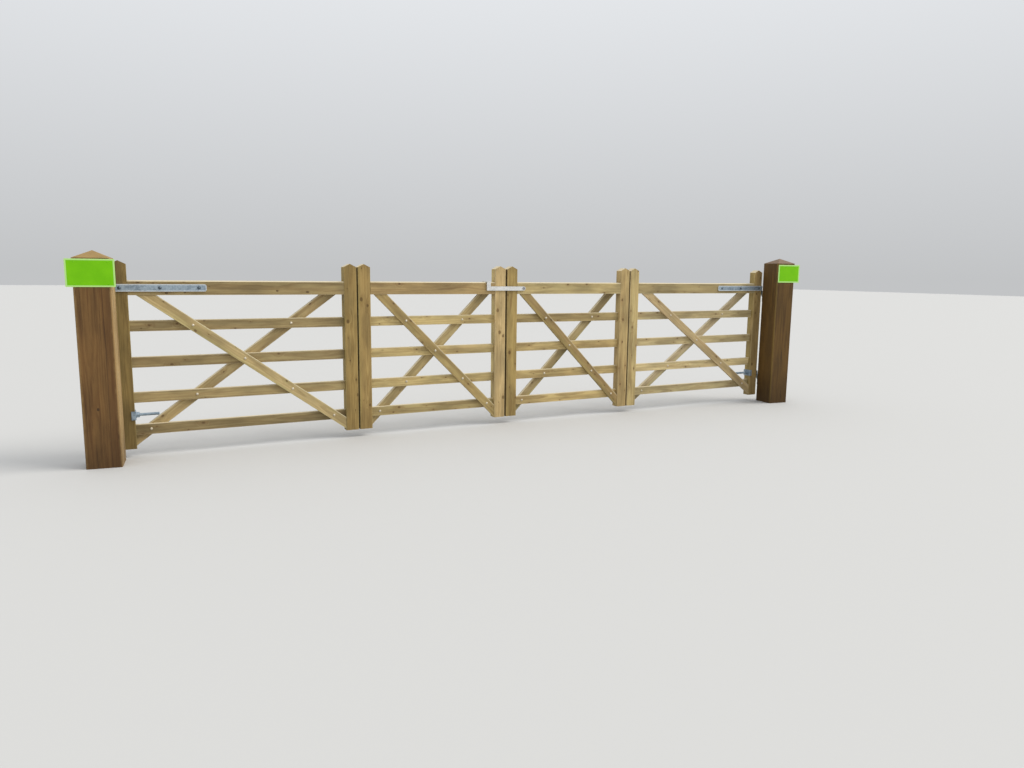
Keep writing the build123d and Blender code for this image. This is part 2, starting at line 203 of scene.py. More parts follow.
def arris_group():
    """The long corners of a squared timber, paler where rubbed and as a painted highlight, and a
    little uneven.
    """
    tree, given, gives = start_group(
        "arris",
        {"Vector": (0, 0, 0), "Half Width": 0.05, "Half Depth": 0.0375, "Reach": 0.006},
        {"Edge": "Float"},
    )
    place = separate(tree, given["Vector"])
    rough = spread(tree, noise(tree, given["Vector"], (30, 60, 60)), 0.3, 1.7)
    near = []
    for axis, half in ((2, "Half Width"), (1, "Half Depth")):
        inside = calc(tree, "SUBTRACT", given[half], calc(tree, "ABSOLUTE", place[axis]))
        near.append(rise(tree, inside, product(tree, given["Reach"], rough), 0.0))
    tree.links.new(product(tree, *near), gives["Edge"])
    return tree


knots = knots_group()
grain = grain_group()
arris = arris_group()


TIMBER_INPUTS = {
    "Vector": (0, 0, 0),
    "Facing": (0, 0, 0),
    "Up": 0.0,
    "Start": 0.0,
    "Tone": 1.0,
    "Body": (0.3, 0.2, 0.1, 1),
    "Late": (0.2, 0.13, 0.06, 1),
    "Sap": (0.3, 0.28, 0.12, 1),
    "Knot": (0.05, 0.03, 0.015, 1),
    "Worn Highlight": (0.5, 0.4, 0.25, 1),
    "Bleached And Highlight": (0.5, 0.35, 0.18, 1),
    "Side": (0.3, 0.2, 0.1, 1),
    "Side Way": 0.0,
    "Split": NO_SPLIT,
    "Half Length": 0.65,
    "Half Width": 0.05,
    "Half Depth": 0.0375,
    "Reach": 0.006,
    "Rub": 0.6,
    "Top Highlight": 0.0,
    "Ring": 0.005,
    "Heart": (0, 0.06, 0.01),
    "Wander": 0.012,
    "Sap Start": 0.07,
    "Ring Strength": 0.5,
    "Streak Strength": 0.4,
    "Patch Strength": 0.5,
    "Knot Spacing": 0.25,
    "Knot Radius": 0.007,
    "Knot Share": 0.6,
    "Checks": 0.0,
    "Splash": 0.0,
}


def wood_colour(tree, given, own, side):
    """Heartwood and sapwood with rings, streaks, patches and knots, bleached where they face up, and
    one side face in the Side colour: paler sapwood on a post, painted shade on a stile that faces
    its neighbour.
    """
    spots = use_group(tree, knots, {
        "Vector": own,
        "Spacing": given["Knot Spacing"],
        "Band": product(tree, given["Half Width"], 2.0),
        "Radius": given["Knot Radius"],
        "Share": given["Knot Share"],
    })
    lines = use_group(tree, grain, {
        "Vector": own,
        "Ring": given["Ring"],
        "Heart": given["Heart"],
        "Wander": given["Wander"],
        "Push": spots["Push"],
    })
    inner = calc(tree, "SUBTRACT", lines["Radius"], 0.025)
    out = calc(tree, "MULTIPLY_ADD", lines["Drift"], 0.05, inner)
    sap = rise(tree, calc(tree, "SUBTRACT", out, given["Sap Start"]), -0.007, 0.007)
    colour = mixed(tree, sap, given["Body"], given["Sap"])
    # The side face takes the Side colour: sapwood on a post, painted shade where a stile faces its
    # neighbour across a narrow gap.
    colour = mixed(tree, side, colour, given["Side"])
    late = product(tree, lines["Late"], given["Ring Strength"])
    streak = product(tree, lines["Streak"], given["Streak Strength"])
    colour = mixed(tree, calc(tree, "MAXIMUM", late, streak), colour, given["Late"])
    tone = spread(tree, lines["Fibre"], 0.72, 1.28)
    patch = rise(tree, noise(tree, own, (3.5, 16, 16), 4.0), 0.3, 0.7)
    swing = calc(tree, "MULTIPLY_ADD", patch, given["Patch Strength"], 1.0)
    swing = calc(tree, "SUBTRACT", swing, product(tree, given["Patch Strength"], 0.5))
    both = product(tree, tone, swing, given["Tone"])
    colour = mixed(tree, 1.0, colour, combine(tree, both, both, both), "MULTIPLY")
    colour = mixed(tree, product(tree, spots["Halo"], 0.5), colour, given["Late"])
    colour = mixed(tree, product(tree, spots["Knot"], 0.8), colour, given["Knot"])
    bleach = product(tree, rise(tree, given["Up"], 0.3, 0.7), spread(tree, patch, 0.7, 0.9))
    return mixed(tree, bleach, colour, given["Bleached And Highlight"]), lines


def split_and_checks(tree, given, own, place, front, colour):
    """One long split down the front with darker wood past it, and fine checks along the grain."""
    sway = spread(tree, noise(tree, own, (1.3, 0, 0)), -0.008, 0.008)
    beside = calc(tree, "SUBTRACT", calc(tree, "SUBTRACT", place[2], given["Split"]), sway)
    past = product(tree, rise(tree, beside, 0.001, -0.001), front, 0.4)
    colour = mixed(tree, past, colour, given["Late"])
    split = product(tree, rise(tree, calc(tree, "ABSOLUTE", beside), 0.003, 0.001), front)
    colour = mixed(tree, product(tree, split, 0.4), colour, given["Knot"])
    crack = noise(tree, own, (0.9, 34, 34), 3.0)
    thin = rise(tree, calc(tree, "ABSOLUTE", calc(tree, "SUBTRACT", crack, 0.5)), 0.016, 0.0)
    open_here = rise(tree, noise(tree, own, (2.0, 9, 9)), 0.5, 0.62)
    open_here = product(tree, open_here, rise(tree, given["Up"], 0.7, 0.3))
    checks = product(tree, thin, open_here, given["Checks"])
    return mixed(tree, product(tree, checks, 0.8), colour, given["Knot"]), checks


def wear_highlights_and_wet(tree, given, own, place, colour):
    """Rubbed corners with a painted highlight, a painted highlight along the upper edge and a foot
    darkened by splashes.
    """
    corner = use_group(tree, arris, {
        "Vector": given["Vector"],
        "Half Width": given["Half Width"],
        "Half Depth": given["Half Depth"],
        "Reach": given["Reach"],
    })
    # Rubbed wear and painted highlight: the long corners are mixed towards a paler colour.
    colour = mixed(tree, product(tree, corner["Edge"], given["Rub"]), colour, given["Worn Highlight"])
    # Painted highlight: a band along the upper edge is mixed towards the pale bleached colour.
    below = calc(tree, "SUBTRACT", given["Half Width"], place[2])
    ragged = spread(tree, noise(tree, own, (25, 25, 25)), -0.003, 0.003)
    upper = rise(tree, calc(tree, "ADD", below, ragged), 0.010, 0.003)
    colour = mixed(tree, product(tree, upper, given["Top Highlight"]), colour, given["Bleached And Highlight"])
    cloud = spread(tree, noise(tree, given["Vector"], (18, 18, 18), 4.0), -0.08, 0.08)
    above = calc(tree, "ADD", calc(tree, "ADD", place[0], given["Half Length"]), cloud)
    wet = product(tree, rise(tree, above, 0.45, 0.0), given["Splash"])
    return mixed(tree, product(tree, wet, 0.6), colour, given["Knot"]), wet


def timber_group():
    """Sawn timber: its cut wood, then what opened in it, then what wear and wet did to it, with
    painted highlights on its corners and upper edges.
    """
    outputs = {"Color": "Color", "Roughness": "Float", "Height": "Float"}
    tree, given, gives = start_group("timber", TIMBER_INPUTS, outputs)
    own = vector_calc(tree, "ADD", given["Vector"], combine(tree, given["Start"], None, None))
    place = separate(tree, given["Vector"])
    facing = separate(tree, given["Facing"])
    side = rise(tree, product(tree, facing[2], given["Side Way"]), 0.5, 0.8)
    front = rise(tree, facing[1], -0.5, -0.8)
    colour, lines = wood_colour(tree, given, own, side)
    colour, checks = split_and_checks(tree, given, own, place, front, colour)
    colour, wet = wear_highlights_and_wet(tree, given, own, place, colour)
    tree.links.new(colour, gives["Color"])
    dull = calc(tree, "MULTIPLY_ADD", lines["Fibre"], 0.15, 0.6)
    tree.links.new(calc(tree, "ADD", dull, product(tree, wet, 0.15)), gives["Roughness"])
    ridge = calc(tree, "MULTIPLY_ADD", lines["Late"], 0.5, product(tree, lines["Fibre"], 0.6))
    tree.links.new(calc(tree, "SUBTRACT", ridge, product(tree, checks, 3.0)), gives["Height"])
    return tree


timber = timber_group()


def new_material(name):
    """A material, its tree and its shader's inputs."""
    material = bpy.data.materials.new(name)
    material.use_nodes = True
    tree = material.node_tree
    return material, tree, tree.nodes["Principled BSDF"].inputs


def timber_material(name, centre, turn, values, per_board=None):
    """Timber about that centre, whose grain runs along the X axis turned by those angles."""
    material, tree, shader = new_material(name)
    shader["Specular IOR Level"].default_value = 0.3
    where = put(tree, "ShaderNodeTexCoord").outputs
    ins = {"Vector": where["Object"], "Location": centre, "Rotation": turn}
    local = put(tree, "ShaderNodeMapping", ins, vector_type="TEXTURE").outputs[0]
    ins = {"Vector": where["Normal"], "Rotation": turn}
    facing = put(tree, "ShaderNodeMapping", ins, vector_type="TEXTURE").outputs[0]
    tone = 1.0
    if per_board:
        local, tone = per_board(tree, local)
    up = separate(tree, where["Normal"])[2]
    ins = {"Vector": local, "Facing": facing, "Up": up, "Tone": tone, **values}
    looks = use_group(tree, timber, ins)
    ins = {"Height": looks["Height"], "Distance": 0.0007, "Strength": 0.8}
    bump = put(tree, "ShaderNodeBump", ins).outputs[0]
    tree.links.new(looks["Color"], shader["Base Color"])
    tree.links.new(looks["Roughness"], shader["Roughness"])
    tree.links.new(bump, shader["Normal"])
    return material


def shade(colour, red, green=None, blue=None):
    """The colour times one factor, or one for each channel, as a colour with alpha."""
    factors = (red, red if green is None else green, red if blue is None else blue)
    return tuple(c * f for c, f in zip(colour, factors)) + (1.0,)


def dress(node, material):
    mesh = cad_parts[node].data
    mesh.materials.clear()
    mesh.materials.append(material)


def centre_and_half(node):
    low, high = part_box(node)
    return (low + high) / 2, (high - low) / 2


def post_half():
    """Half the posts' width, from the box round a turned one."""
    return centre_and_half("left_gatepost")[1].x / (math.cos(POST_TURN) + abs(math.sin(POST_TURN)))


for post, (colour, head, inner) in POST_COLOURS.items():
    centre, half = centre_and_half(post)
    start, split = POST_GRAIN[post]
    dress(post, timber_material(post + "_timber", centre, UPRIGHT_AND_TURNED, {
        "Body": shade(colour, 1.05, 1.0, 0.95),
        "Late": shade(colour, 0.62, 0.5, 0.42),
        "Sap": shade(colour, 0.92, 0.86, 0.85),
        "Knot": shade(colour, 0.22, 0.2, 0.25),
        "Worn Highlight": shade(colour, 1.9, 2.2, 2.6),
        "Bleached And Highlight": shade(head, 1.0),
        "Side": shade(inner, 1.0),
        "Side Way": -1.0,
        "Split": split,
        "Start": start,
        "Half Length": half.z,
        "Half Width": post_half(),
        "Half Depth": post_half(),
        "Reach": 0.016,
        "Rub": 0.75,
        "Ring": 0.0065,
        "Heart": (0, 0.012, -0.03),
        "Wander": 0.03,
        "Sap Start": 0.145,
        "Ring Strength": 0.5,
        "Streak Strength": 0.8,
        "Patch Strength": 0.35,
        "Knot Spacing": 0.5,
        "Knot Radius": 0.011,
        "Knot Share": 0.5,
        "Checks": 1.0,
        "Splash": 0.8,
    }))


# Leaf timbers. Each of the four leaves is a frame of planed, pressure-treated softwood: two
# stiles with weathered heads, a deep top rail tenoned into them, four boards let in below it
# and two braces bolted over the boards. The treatment leaves it olive and tan.

STILE_COLOURS = {
    "left_outer_hanging_stile": (0.205, 0.152, 0.050),
    "left_outer_fold_stile": (0.270, 0.198, 0.067),
    "left_inner_fold_stile": (0.305, 0.222, 0.079),
    "left_inner_meeting_stile": (0.460, 0.360, 0.168),
    "right_inner_meeting_stile": (0.310, 0.218, 0.082),
    "right_inner_fold_stile": (0.376, 0.270, 0.126),
    "right_outer_fold_stile": (0.418, 0.320, 0.154),
    "right_outer_hanging_stile": (0.300, 0.222, 0.088),
}
# The colours of each leaf's top rail and of its four boards
LEAF_COLOURS = {
    "left_outer": ((0.258, 0.190, 0.092), (0.305, 0.227, 0.112)),
    "left_inner": ((0.306, 0.212, 0.100), (0.400, 0.305, 0.145)),
    "right_inner": ((0.390, 0.303, 0.151), (0.380, 0.280, 0.130)),
    "right_outer": ((0.300, 0.232, 0.118), (0.435, 0.345, 0.190)),
}
BRACE_COLOURS = {
    "left_outer": {"front": (0.396, 0.322, 0.151), "back": (0.349, 0.260, 0.131)},
    "left_inner": {"front": (0.342, 0.252, 0.110), "back": (0.352, 0.268, 0.136)},
    "right_inner": {"front": (0.275, 0.203, 0.082), "back": (0.275, 0.224, 0.107)},
    "right_outer": {"front": (0.398, 0.298, 0.163), "back": (0.361, 0.304, 0.177)},
}
# How bright each board is, lowest first
BOARD_TONES = {
    "left_outer": (0.70, 1.02, 0.86, 0.87),
    "left_inner": (0.81, 1.09, 1.07, 1.13),
    "right_inner": (1.18, 1.08, 1.11, 0.80),
    "right_outer": (0.80, 1.19, 0.92, 0.89),
}
# How strongly a painted highlight pales the upper edges of the rails, boards and braces
TOP_RAIL_HIGHLIGHT = 0.7
BOARD_HIGHLIGHT = 0.45
BRACE_HIGHLIGHT = {"front": 0.55, "back": 1.0}
# Which way each brace falls: 1 to the right, -1 to the left
BRACE_FALLS = {"front": 1, "back": -1}
KNOT_RADIUS = 0.0056
STILE_KNOT_RADIUS = 0.0078
# How far apart along the grain two neighbouring boards start
BOARD_SHIFT = 2.37
# Pale bleached wood where the timber faces up, and the colour of the painted highlight along upper
# edges
BLEACHED_AND_HIGHLIGHT = (0.56, 0.48, 0.32, 1)

dice = random.Random(11)


def leaf_values(colour, half, heart, **changes):
    """Values of the timber group for one planed piece of a leaf."""
    values = {
        "Start": dice.uniform(0, 50),
        "Body": shade(colour, 1.12, 1.05, 1.06),
        "Late": shade(colour, 0.66, 0.55, 0.44),
        "Sap": shade(colour, 1.10, 1.12, 1.02),
        "Knot": shade(colour, 0.32, 0.24, 0.18),
        "Worn Highlight": shade(colour, 1.4, 1.5, 1.75),
        "Bleached And Highlight": BLEACHED_AND_HIGHLIGHT,
        "Half Length": half[0],
        "Half Width": half[1],
        "Half Depth": half[2],
        "Reach": 0.006,
        "Rub": 0.7,
        "Ring": 0.0055,
        "Heart": heart,
        "Wander": 0.03,
        "Sap Start": 0.068,
        "Ring Strength": 0.6,
        "Streak Strength": 0.5,
        "Patch Strength": 0.45,
        "Knot Spacing": 0.19,
        "Knot Radius": KNOT_RADIUS,
        "Knot Share": 0.6,
    }
    values.update(changes)
    return values


def board_centres(node):
    """Heights of the middles of the boards in a node, lowest first."""
    heights = sorted({round(v.co.z, 4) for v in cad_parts[node].data.vertices})
    rows = [[heights[0]]]
    for z in heights[1:]:
        if z - rows[-1][-1] > 0.1:
            rows.append([])
        rows[-1].append(z)
    return [(row[0] + row[-1]) / 2 for row in rows]


def boards_apart(tree, local, heights, tones):
    """Moves each board's own middle to height 0, with a stretch of grain and a tone of its own."""
    place = separate(tree, local)
    height, along, tone = place[2], place[0], tones[0]
    for row in range(1, len(heights)):
        step = heights[row] - heights[row - 1]
        above = calc(tree, "GREATER_THAN", place[2], heights[row] - step / 2)
        height = calc(tree, "SUBTRACT", height, product(tree, above, step))
        along = calc(tree, "ADD", along, product(tree, above, BOARD_SHIFT))
        tone = calc(tree, "MULTIPLY_ADD", above, tones[row] - tones[row - 1], tone)
    height = calc(tree, "SUBTRACT", height, heights[0])
    return combine(tree, along, place[1], height), tone


def brace_line(node, board_half, falls):
    """A point on a brace's middle line and its lean. Its box's diagonal is its lower edge."""
    centre, half = centre_and_half(node)
    steep = math.atan2(half.z, half.x)
    across = Vector((falls * math.sin(steep), 0, math.cos(steep)))
    return centre + across * board_half, falls * steep


for stile, colour in STILE_COLOURS.items():
    centre, half = centre_and_half(stile)
    heart = (0, dice.choice((-1, 1)) * dice.uniform(0.05, 0.09), dice.uniform(-0.03, 0.03))
    values = leaf_values(colour, (half.z, half.x, half.y), heart, Splash=0.2, Checks=0.35)
    values["Knot Radius"] = STILE_KNOT_RADIUS
    if "hanging" not in stile:
        leaf = stile.rsplit("_", 2)[0]
        # Painted shade: the side that faces the neighbouring stile across the fold or meeting gap is
        # painted dark.
        values["Side"] = shade(colour, 0.35, 0.32, 0.25)
        values["Side Way"] = 1.0 if centre.x < centre_and_half(leaf + "_top_rail")[0].x else -1.0
    dress(stile, timber_material(stile + "_timber", centre, UPRIGHT, values))

for leaf, (top, boards) in LEAF_COLOURS.items():
    heart = (0, dice.choice((-1, 1)) * dice.uniform(0.05, 0.08), dice.uniform(-0.02, 0.02))
    centre, half = centre_and_half(leaf + "_top_rail")
    values = leaf_values(top, (half.x, half.z, half.y), heart, **{"Top Highlight": TOP_RAIL_HIGHLIGHT})
    dress(leaf + "_top_rail", timber_material(leaf + "_top_rail_timber", centre, LEVEL, values))

    centre, half = centre_and_half(leaf + "_lower_rails")
    rows = board_centres(leaf + "_lower_rails")
    heights = [z - centre.z for z in rows]
    board_half = rows[0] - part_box(leaf + "_lower_rails")[0].z
    values = leaf_values(boards, (half.x, board_half, half.y), heart, **{"Top Highlight": BOARD_HIGHLIGHT})
    dress(leaf + "_lower_rails", timber_material(
        leaf + "_lower_rails_timber", centre, LEVEL, values,
        lambda tree, local: boards_apart(tree, local, heights, BOARD_TONES[leaf])))

    for side, falls in BRACE_FALLS.items():
        node = leaf + "_" + side + "_brace"
        middle, lean = brace_line(node, board_half, falls)
        heart = (0, dice.choice((-1, 1)) * 0.07, dice.uniform(-0.02, 0.02))
        half = centre_and_half(node)[1]
        changes = {"Top Highlight": BRACE_HIGHLIGHT[side]}
        colour = BRACE_COLOURS[leaf][side]
        values = leaf_values(colour, (half.x, board_half, half.y), heart, **changes)
        dress(node, timber_material(node + "_timber", middle, (0, lean, 0), values))


# Bolts through the braces. Where a brace crosses a board they are clamped with a galvanised
# coach bolt: a shallow domed head on the front, a washer and a hexagon nut on the back.

BRACE_HEAD = {"Head Radius": 0.0095, "Head Rise": 0.0055}
BRACE_NUT = {
    "Across": 0.017,
    "Nut Thick": 0.008,
    "Washer Radius": 0.014,
    "Washer Thick": 0.002,
    "Bolt Radius": 0.005,
    "Bolt Stand": 0.006,
}
BOLT_LIGHT = (0.70, 0.63, 0.49, 1)
BOLT_DARK = (0.45, 0.39, 0.29, 1)
FRONT = (0, -1, 0)
BACK = (0, 1, 0)


def zinc_group():
    """A zinc coat: crystals of slightly different grey, dull clouds and fine runs, and a painted
    highlight towards white where Edge is given.
    """
    tree, given, gives = start_group(
        "zinc",
        {
            "Vector": (0, 0, 0),
            "Light": (0.5, 0.5, 0.5, 1),
            "Dark": (0.3, 0.3, 0.3, 1),
            "Crystal": 0.012,
            "Shine": 0.4,
            "Edge": 0.0,
        },
        {"Color": "Color", "Roughness": "Float", "Height": "Float"},
    )
    scale = calc(tree, "DIVIDE", 1.0, given["Crystal"])
    ins = {"Vector": given["Vector"], "Scale": scale, "Randomness": 1.0}
    cells = put(tree, "ShaderNodeTexVoronoi", ins)
    grey = put(tree, "ShaderNodeSeparateColor", (cells.outputs["Color"],)).outputs[0]
    cloud = noise(tree, given["Vector"], (14, 14, 14), 4.0)
    run = noise(tree, given["Vector"], (160, 160, 12), 2.0)
    share = calc(tree, "ADD", product(tree, grey, 0.35), product(tree, cloud, 0.9))
    share = calc(tree, "ADD", share, product(tree, run, 0.3))
    share = rise(tree, share, 0.35, 1.15)
    colour = mixed(tree, share, given["Dark"], given["Light"])
    # Painted highlight: where Edge is given the zinc is mixed towards white.
    pale = mixed(tree, 0.6, given["Light"], (1.0, 1.0, 1.0, 1))
    tree.links.new(mixed(tree, given["Edge"], colour, pale), gives["Color"])
    tree.links.new(calc(tree, "MULTIPLY_ADD", share, -0.14, given["Shine"]), gives["Roughness"])
    tree.links.new(calc(tree, "ADD", grey, cloud), gives["Height"])
    return tree


zinc = zinc_group()


def zinc_material(name, light, dark, metallic, shine, crystal=0.012, edge=None):
    """Zinc-coated steel; edge makes the share of painted highlight, pale zinc, from the place."""
    material, tree, shader = new_material(name)
    shader["Metallic"].default_value = metallic
    place = put(tree, "ShaderNodeTexCoord").outputs["Object"]
    # A painted highlight along the edges, where edge is given.
    edge_highlight = edge(tree, place) if edge else 0.0
    coat = use_group(tree, zinc, {
        "Vector": place,
        "Light": light,
        "Dark": dark,
        "Crystal": crystal,
        "Shine": shine,
        "Edge": edge_highlight,
    })
    ins = {"Height": coat["Height"], "Distance": 0.0003, "Strength": 0.5}
    tree.links.new(coat["Color"], shader["Base Color"])
    tree.links.new(coat["Roughness"], shader["Roughness"])
    tree.links.new(put(tree, "ShaderNodeBump", ins).outputs[0], shader["Normal"])
    return material


bolt_zinc = zinc_material("bolt_zinc", BOLT_LIGHT, BOLT_DARK, 0.45, 0.55, crystal=0.004)


def fixings_tree(name, sizes, build):
    """A tree that sets one fixing on each vertex, turned to face one way and spun at random."""
    tree = bpy.data.node_groups.new(name, "GeometryNodeTree")
    face = tree.interface
    face.new_socket("Geometry", in_out="INPUT", socket_type="NodeSocketGeometry")
    face.new_socket("Facing", in_out="INPUT", socket_type="NodeSocketVector")
    face.new_socket("Material", in_out="INPUT", socket_type="NodeSocketMaterial")
    for size in sizes:
        face.new_socket(size, in_out="INPUT", socket_type="NodeSocketFloat")
    face.new_socket("Geometry", in_out="OUTPUT", socket_type="NodeSocketGeometry")
    given = tree.nodes.new("NodeGroupInput").outputs
    shape = build(tree, given)
    aim = put(tree, "FunctionNodeAlignRotationToVector", {"Vector": given["Facing"]}, axis="Z")
    ins = {0: (0, 0, 0), 1: (0, 0, math.tau), "Seed": 5}
    spin = put(tree, "FunctionNodeRandomValue", ins, data_type="FLOAT_VECTOR")
    turn = put(tree, "FunctionNodeEulerToRotation", (spin.outputs[0],)).outputs[0]
    ins = {"Rotation": aim.outputs[0], "Rotate By": turn}
    rotation = put(tree, "FunctionNodeRotateRotation", ins, rotation_space="LOCAL").outputs[0]
    ins = {"Points": given["Geometry"], "Instance": shape, "Rotation": rotation}
    placed = put(tree, "GeometryNodeInstanceOnPoints", ins).outputs[0]
    real = put(tree, "GeometryNodeRealizeInstances", (placed,)).outputs[0]
    ins = {"Geometry": real, "Material": given["Material"]}
    done = put(tree, "GeometryNodeSetMaterial", ins).outputs[0]
    tree.links.new(done, tree.nodes.new("NodeGroupOutput").inputs[0])
    return tree


def lifted(tree, mesh, height):
    up = combine(tree, None, None, height)
    return put(tree, "GeometryNodeTransform", {"Geometry": mesh, "Translation": up}).outputs[0]


def domed_head(tree, given):
    """A shallow dome, its lower half sunk in what it clamps."""
    ins = {"Segments": 18, "Rings": 10, "Radius": 1.0}
    ball = put(tree, "GeometryNodeMeshUVSphere", ins).outputs[0]
    scale = combine(tree, given["Head Radius"], given["Head Radius"], given["Head Rise"])
    flat = put(tree, "GeometryNodeTransform", {"Geometry": ball, "Scale": scale}).outputs[0]
    return put(tree, "GeometryNodeSetShadeSmooth", (flat,)).outputs[0]


def washer_and_nut(tree, given):
    """A round washer, a hexagon nut with chamfered corners and the end of its bolt."""
    thick = given["Washer Thick"]
    ins = {"Vertices": 24, "Radius": given["Washer Radius"], "Depth": thick}
    washer = put(tree, "GeometryNodeMeshCylinder", ins).outputs[0]
    washer = lifted(tree, washer, product(tree, thick, 0.5))
    corner = calc(tree, "DIVIDE", given["Across"], math.sqrt(3))
    ins = {"Vertices": 6, "Radius": corner, "Depth": given["Nut Thick"]}
    hexagon = put(tree, "GeometryNodeMeshCylinder", ins).outputs[0]
    hexagon = lifted(tree, hexagon, product(tree, given["Nut Thick"], 0.5))
    cone = put(tree, "GeometryNodeMeshCone", {
        "Vertices": 24,
        "Radius Top": product(tree, given["Across"], 0.48),
        "Radius Bottom": product(tree, given["Across"], 1.9),
        "Depth": given["Nut Thick"],
    }).outputs[0]
    nut = put(tree, "GeometryNodeMeshBoolean", operation="INTERSECT", solver="EXACT")
    tree.links.new(hexagon, nut.inputs["Mesh 2"])
    tree.links.new(cone, nut.inputs["Mesh 2"])
    nut = lifted(tree, nut.outputs[0], thick)
    length = calc(tree, "ADD", calc(tree, "ADD", thick, given["Nut Thick"]), given["Bolt Stand"])
    ins = {"Vertices": 16, "Radius": given["Bolt Radius"], "Depth": length}
    bolt = put(tree, "GeometryNodeMeshCylinder", ins).outputs[0]
    bolt = lifted(tree, bolt, product(tree, length, 0.5))
    joined = tree.nodes.new("GeometryNodeJoinGeometry")
    for piece in (washer, nut, bolt):
        tree.links.new(piece, joined.inputs[0])
    return joined.outputs[0]


domes = fixings_tree("domed_heads", BRACE_HEAD, domed_head)
nuts = fixings_tree("washers_and_nuts", BRACE_NUT, washer_and_nut)


def add_object(name, data):
    made = bpy.data.objects.new(name, data)
    bpy.context.scene.collection.objects.link(made)
    return made


def set_fixings(name, body, points, facing, tree, material, sizes):
    """Sets a tree's fixings on the points and turns the result into one plain mesh."""
    mesh = bpy.data.meshes.new(name + "_places")
    mesh.from_pydata([tuple(p) for p in points], [], [])
    places = add_object(name + "_places", mesh)
    modifier = places.modifiers.new("fixings", "NODES")
    modifier.node_group = tree
    values = {"Facing": facing, "Material": material, **sizes}
    for item in tree.interface.items_tree:
        if item.in_out == "INPUT" and item.name in values:
            modifier[item.identifier] = values[item.name]
    evaluated = places.evaluated_get(bpy.context.evaluated_depsgraph_get())
    made = add_object(name, bpy.data.meshes.new_from_object(evaluated))
    bpy.data.objects.remove(places)
    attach(made, body)


for leaf in LEAF_COLOURS:
    rails = leaf + "_lower_rails"
    rail_front, rail_back = (corner.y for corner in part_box(rails))
    rows = board_centres(rails)
    board_half = rows[0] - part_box(rails)[0].z
    heads = []
    tails = []
    for side, falls in BRACE_FALLS.items():
        node = leaf + "_" + side + "_brace"
        middle, lean = brace_line(node, board_half, falls)
        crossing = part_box(leaf + "_front_brace")[0].y if side == "front" else rail_front
        behind = rail_back if side == "front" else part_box(node)[1].y
        for z in rows:
            x = middle.x - (z - middle.z) / math.tan(lean)
            # one bolt holds both braces where they cross
            centred = abs(x - centre_and_half(rails)[0].x) < board_half
            if side == "front" or not centred:
                heads.append((x, crossing, z))
            if side == "back" or not centred:
                tails.append((x, behind, z))
    body = leaf + "_leaf"
    set_fixings(leaf + "_bolt_heads", body,
                heads, FRONT, domes, bolt_zinc, BRACE_HEAD)
    set_fixings(leaf + "_bolt_nuts", body,
                tails, BACK, nuts, bolt_zinc, BRACE_NUT)


# Hanging ironwork. A galvanised strap band clasps each outer leaf's top rail and closes on an
# eye, and a threaded eye bolt with a stirrup and a nut adjusts the foot. Both eyes drop on the
# pins of two hooks, whose plates are fixed with coach screws to the back of the post.

# How far the straps' bolts stand from the hanging stile's outer side
STRAP_BOLTS = (0.05, 0.30, 0.55)
STRAP_HEAD = {"Head Radius": 0.0115, "Head Rise": 0.0075}
STRAP_EDGE = 0.006
COACH_SCREW = {
    "Across": 0.015,
    "Nut Thick": 0.006,
    "Washer Radius": 0.010,
    "Washer Thick": 0.0015,
    "Bolt Radius": 0.003,
    "Bolt Stand": -0.002,
}
STEM_NUT = {
    "Across": 0.038,
    "Nut Thick": 0.020,
    "Washer Radius": 0.024,
    "Washer Thick": 0.003,
    "Bolt Radius": 0.0090,
    "Bolt Stand": -0.004,
}
# The hair of room that the solids keep where two pieces meet
SEAT = 0.0003
STIRRUP_T = 0.006
HOOK_PLATE_T = 0.006
HOOK_WEB_T = 0.006
# How far the screws stand above the foot of a hook's plate
HOOK_SCREWS_UP = (0.015, 0.041, 0.067)
THREAD_PITCH = 0.0025
THREAD_CREST = 0.0106
THREAD_ROOT = 0.0094
THREAD_SIDES = 20

ZINC_LIGHT = (0.36, 0.44, 0.50, 1)
ZINC_DARK = (0.17, 0.22, 0.27, 1)
# Painted shade: the strap bolts' domed heads get near-black zinc, standing in for the shade round
# each head.
SHADED_HEAD_LIGHT = (0.10, 0.13, 0.16, 1)
SHADED_HEAD_DARK = (0.05, 0.07, 0.09, 1)


def strap_edges(tree, place):
    """A narrow band along the long edges and the tips of both gates' straps, for a painted
    highlight.
    """
    low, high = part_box("left_strap_band")
    post_left, post_right = (centre_and_half(side + "_gatepost")[0].x for side in ("left", "right"))
    middle = (post_left + post_right) / 2
    spot = separate(tree, place)
    up = calc(tree, "ABSOLUTE", calc(tree, "SUBTRACT", spot[2], (low.z + high.z) / 2))
    along = calc(tree, "ABSOLUTE", calc(tree, "SUBTRACT", spot[0], middle))
    ragged = spread(tree, noise(tree, place, (60, 60, 60)), 0.0, STRAP_EDGE)
    inside_up = calc(tree, "SUBTRACT", (high.z - low.z) / 2, up)
    inside_along = calc(tree, "SUBTRACT", along, middle - high.x)
    inside = calc(tree, "SUBTRACT", calc(tree, "MINIMUM", inside_up, inside_along), ragged)
    return product(tree, rise(tree, inside, STRAP_EDGE, 0.0), 0.7)


strap_zinc = zinc_material("strap_zinc", ZINC_LIGHT, ZINC_DARK, 0.5, 0.52)
band_zinc = zinc_material("band_zinc", ZINC_LIGHT, ZINC_DARK, 0.5, 0.52, edge=strap_edges)
shaded_head_zinc = zinc_material("shaded_head_zinc", SHADED_HEAD_LIGHT, SHADED_HEAD_DARK, 0.5, 0.4, crystal=0.005)
for side in ("left", "right"):
    dress(side + "_strap_band", band_zinc)
    for piece in ("_eye_bolt", "_top_hook", "_bottom_hook"):
        dress(side + piece, strap_zinc)


